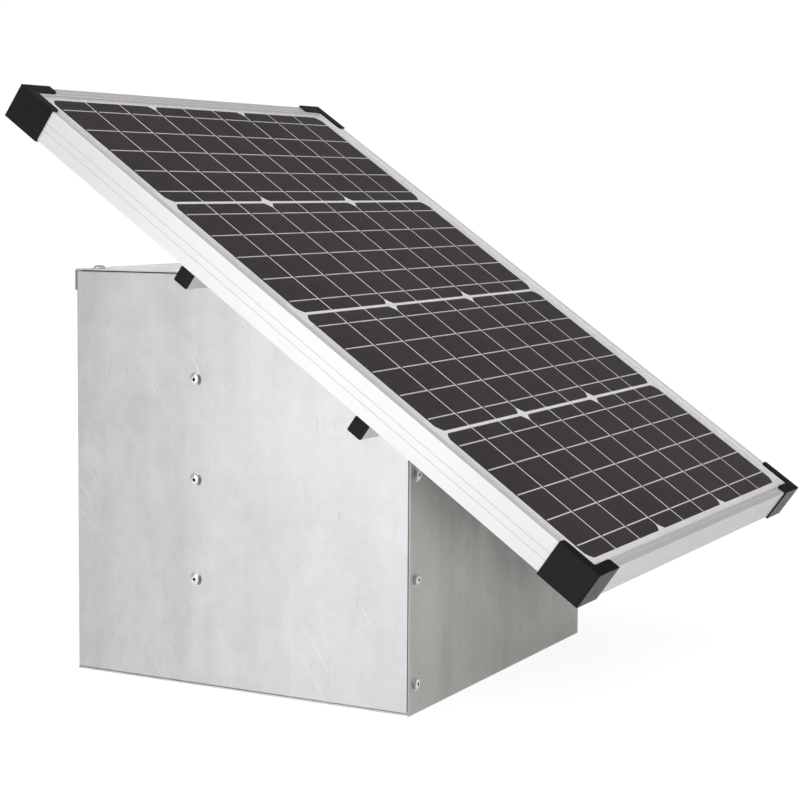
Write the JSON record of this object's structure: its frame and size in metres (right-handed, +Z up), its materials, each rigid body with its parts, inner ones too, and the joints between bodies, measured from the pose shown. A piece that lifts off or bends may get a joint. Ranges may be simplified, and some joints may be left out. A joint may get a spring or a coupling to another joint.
{
  "type": "fence energizer",
  "caption": "Solar electric-fence energizer: riveted sheet-steel box with sloping top, framed solar module on cross bars, lockable rear door, energizer and battery inside.",
  "frame": {"origin": "centre of the box's underside", "axes": "+Z up, -Y towards the front face and the low edge of the solar module, +Y towards the rear door, X across the width"},
  "size_m": [0.5332, 0.5703, 0.5404],
  "materials": {
    "galvanised_sheet": "spangled zinc, slightly scratched",
    "zinc_fastener": "bright",
    "rivet_metal": "satin",
    "anodised_frame": "satin anodised",
    "solar_glass": "clear low-iron",
    "cell_silicon": "dark monocrystalline",
    "ribbon": "tinned",
    "backsheet_white": "matt",
    "black_plastic": "semi-gloss moulded",
    "black_rubber": "matt",
    "cable_jacket": "satin",
    "cable_red": "satin",
    "case_dark": "fine texture",
    "case_orange": "fine texture",
    "circuit_board": "solder mask",
    "core_steel": "varnished laminations",
    "capacitor_sleeve": "shrink sleeve",
    "lens": "translucent",
    "brass_stud": "machined",
    "knob_red": "moulded",
    "knob_green": "moulded",
    "controller_blue": "powder coated",
    "battery_black": "moulded polypropylene",
    "battery_grey": "moulded polypropylene",
    "lead": "dull lead",
    "plated_clamp": "tin plated"
  },
  "bodies": {
    "box": {"front_top_sheet": "galvanised_sheet", "left_side_panel": "galvanised_sheet", "right_side_panel": "galvanised_sheet", "base_tray": "galvanised_sheet", "door_header": "galvanised_sheet", "door_seal": "black_rubber", "box_rivets": "rivet_metal", "cable_grommets": "black_rubber", "hinge_frame_leaves": "zinc_fastener", "hinge_pins": "zinc_fastener", "mounting_rails": "galvanised_sheet", "mounting_plate": "galvanised_sheet", "plate_thumb_screws": "zinc_fastener", "frame_rail_left": "anodised_frame", "frame_rail_right": "anodised_frame", "frame_rail_upper": "anodised_frame", "frame_rail_lower": "anodised_frame", "frame_corner_keys": "anodised_frame", "solar_glass": "solar_glass", "solar_cells": "cell_silicon", "cell_ribbons": "ribbon", "backsheet": "backsheet_white", "junction_box": "black_plastic", "junction_box_lid": "black_plastic", "corner_protectors": "black_plastic", "cross_bar_upper": "anodised_frame", "cross_bar_lower": "anodised_frame", "bar_end_caps": "black_plastic", "bar_bolts": "zinc_fastener", "frame_bolts": "zinc_fastener", "panel_cable": "cable_jacket", "supply_cable": "cable_jacket", "battery_lead_red": "cable_red", "battery_lead_black": "cable_jacket", "energizer_back_shell": "case_dark", "energizer_cover": "case_orange", "energizer_seal": "black_rubber", "energizer_board": "circuit_board", "pulse_transformer": "core_steel", "storage_capacitors": "capacitor_sleeve", "status_lenses": "lens", "terminal_studs": "brass_stud", "case_screws": "zinc_fastener", "controller_case": "controller_blue", "battery_case": "battery_black", "battery_lid": "battery_grey", "battery_plates": "lead", "battery_posts": "lead", "battery_clamps": "plated_clamp"},
    "door": {"rear_door": "galvanised_sheet", "hinge_door_leaves": "zinc_fastener", "lock_body": "zinc_fastener", "lock_nut": "zinc_fastener"},
    "lock": {"lock_plug": "zinc_fastener", "lock_cam": "zinc_fastener", "door_key": "zinc_fastener"},
    "power_switch": {"switch_knob": "black_plastic"},
    "fence_clamp_knob": {"fence_knob": "knob_red"},
    "earth_clamp_knob": {"earth_knob": "knob_green"},
    "controller_push_button": {"controller_button": "case_orange"}
  },
  "joints": [
    {"name": "door_hinge", "type": "hinge", "parent": "box", "child": "door", "pos_m": [0.1685, 0.177, 0.187], "axis": [0, 0, -1], "range_deg": [0, 110]},
    {"name": "lock_turn", "type": "hinge", "parent": "door", "child": "lock", "pos_m": [-0.139, 0.1738, 0.187], "axis": [0, 1, 0], "range_deg": [0, 90]},
    {"name": "switch_turn", "type": "hinge", "parent": "box", "child": "power_switch", "pos_m": [-0.045, 0.1215, 0.193], "axis": [0, 1, 0], "range_deg": [0, 240]},
    {"name": "fence_knob_turn", "type": "hinge", "parent": "box", "child": "fence_clamp_knob", "pos_m": [-0.1, 0.092, 0.075], "axis": [0, 0, 1], "continuous": true},
    {"name": "earth_knob_turn", "type": "hinge", "parent": "box", "child": "earth_clamp_knob", "pos_m": [0.01, 0.092, 0.075], "axis": [0, 0, 1], "continuous": true},
    {"name": "controller_button_press", "type": "slide", "parent": "box", "child": "controller_push_button", "axis": [0, -1, 0], "range_m": [0, 0.0015]}
  ]
}
